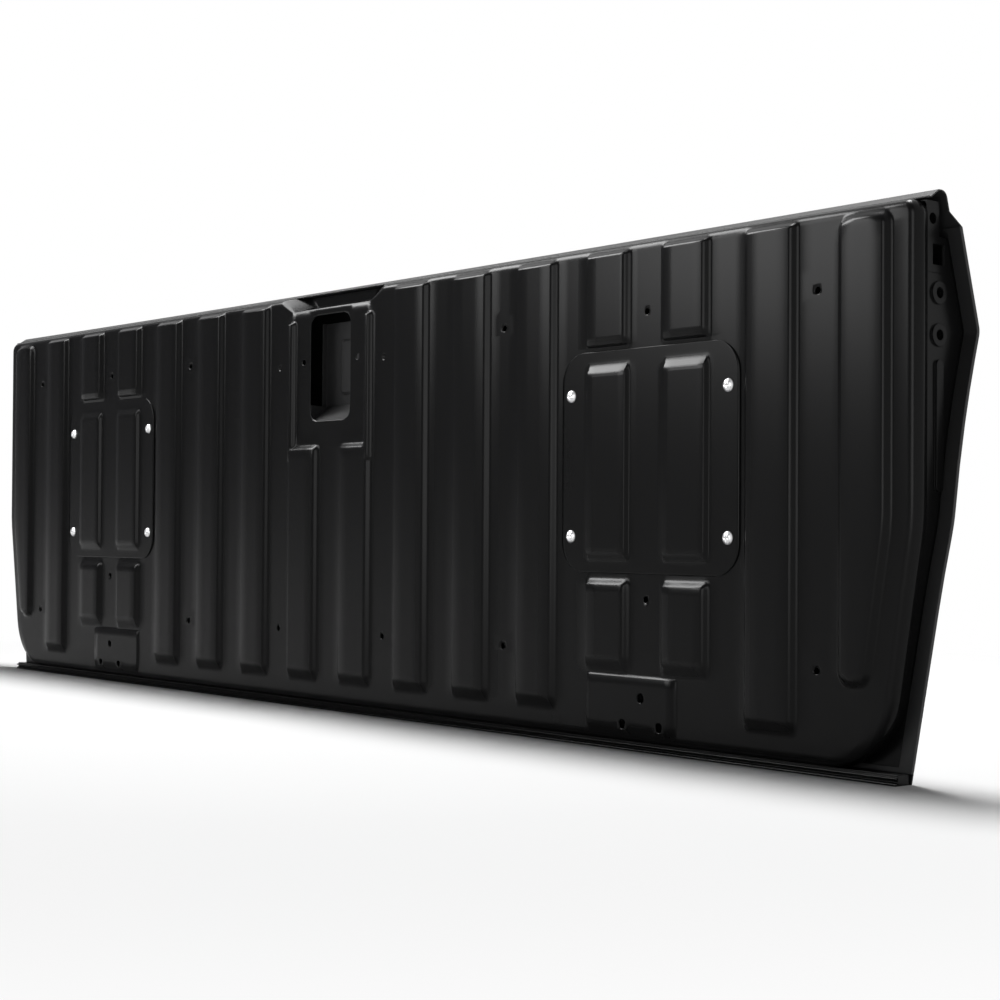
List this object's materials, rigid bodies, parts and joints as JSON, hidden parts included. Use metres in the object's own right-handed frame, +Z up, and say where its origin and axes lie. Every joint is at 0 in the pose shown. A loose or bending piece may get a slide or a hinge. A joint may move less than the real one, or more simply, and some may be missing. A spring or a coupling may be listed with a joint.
{
  "type": "pickup truck tailgate",
  "caption": "Bare pickup truck tailgate in black primer, ribbed inner panel with handle pocket, access covers, hinge and latch holes, hollow between pressed steel sheets",
  "frame": {"origin": "on the floor, under the middle of the gate's length and depth", "axes": "+X along the gate to its right end seen from the ribbed side, +Y towards the outer skin, +Z up"},
  "size_m": [1.512, 0.0724, 0.436],
  "materials": {
    "black_coat": "satin black dip primer on pressed steel",
    "screws": "bright zinc plate",
    "nuts": "black dip primer"
  },
  "bodies": {
    "root": {"inner_panel": "black_coat", "outer_skin": "black_coat", "bottom_hem": "black_coat", "handle_bracket": "black_coat", "pocket_floor": "black_coat", "right_end_wall": "black_coat", "left_end_wall": "black_coat", "right_corner_gusset": "black_coat", "left_corner_gusset": "black_coat", "right_top_corner_bracket": "black_coat", "left_top_corner_bracket": "black_coat", "right_latch_plate": "black_coat", "left_latch_plate": "black_coat", "right_latch_nuts": "nuts", "left_latch_nuts": "nuts", "right_hinge_plate": "black_coat", "left_hinge_plate": "black_coat", "right_hinge_nuts": "nuts", "left_hinge_nuts": "nuts", "right_access_cover": "black_coat", "left_access_cover": "black_coat", "right_cover_screws": "screws", "left_cover_screws": "screws"}
  },
  "joints": []
}
